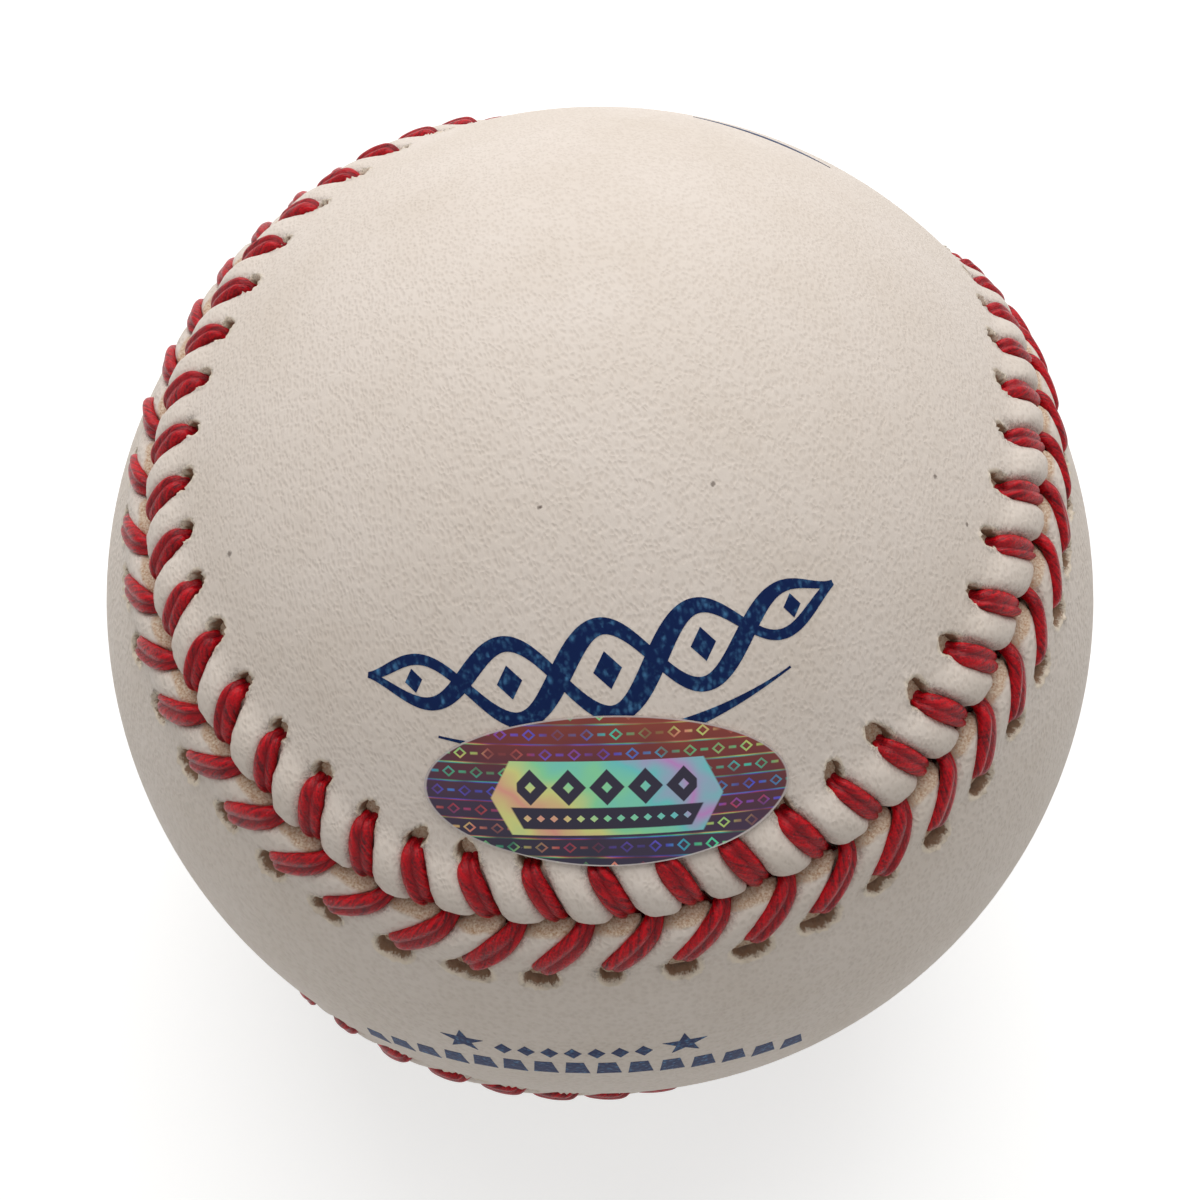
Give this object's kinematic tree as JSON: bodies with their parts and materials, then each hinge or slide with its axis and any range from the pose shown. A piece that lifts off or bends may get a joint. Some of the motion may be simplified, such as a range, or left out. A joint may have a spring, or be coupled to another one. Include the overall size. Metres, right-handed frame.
{
  "type": "baseball",
  "caption": "Leather ball sewn from two figure-eight panels with raised red herringbone stitches, wound with wool yarn over a rubber-covered cork centre.",
  "frame": {"origin": "the middle of the ball", "axes": "panel A has its two lobes on +Z and -Z and its neck on +Y; panel B has its lobes on +X and -X and its neck on -Y"},
  "size_m": [0.0742, 0.0742, 0.0742],
  "materials": {
    "cork": "matte",
    "black_rubber": "matte",
    "red_rubber": "matte",
    "grey_wool": "matte",
    "white_wool": "matte",
    "finishing_yarn": "matte",
    "leather": "satin",
    "waxed_thread": "satin",
    "foil_sticker": "gloss"
  },
  "bodies": {
    "root": {"cork_core": "cork", "black_rubber_shell_a": "black_rubber", "black_rubber_shell_b": "black_rubber", "rubber_gasket_ring": "red_rubber", "red_rubber_cover": "red_rubber", "grey_wool_winding_inner": "grey_wool", "white_wool_winding": "white_wool", "grey_wool_winding_outer": "grey_wool", "finishing_yarn_winding": "finishing_yarn", "cover_panel_a": "leather", "cover_panel_b": "leather", "stitching_thread_a": "waxed_thread", "stitching_thread_b": "waxed_thread", "oval_sticker": "foil_sticker"}
  },
  "joints": []
}
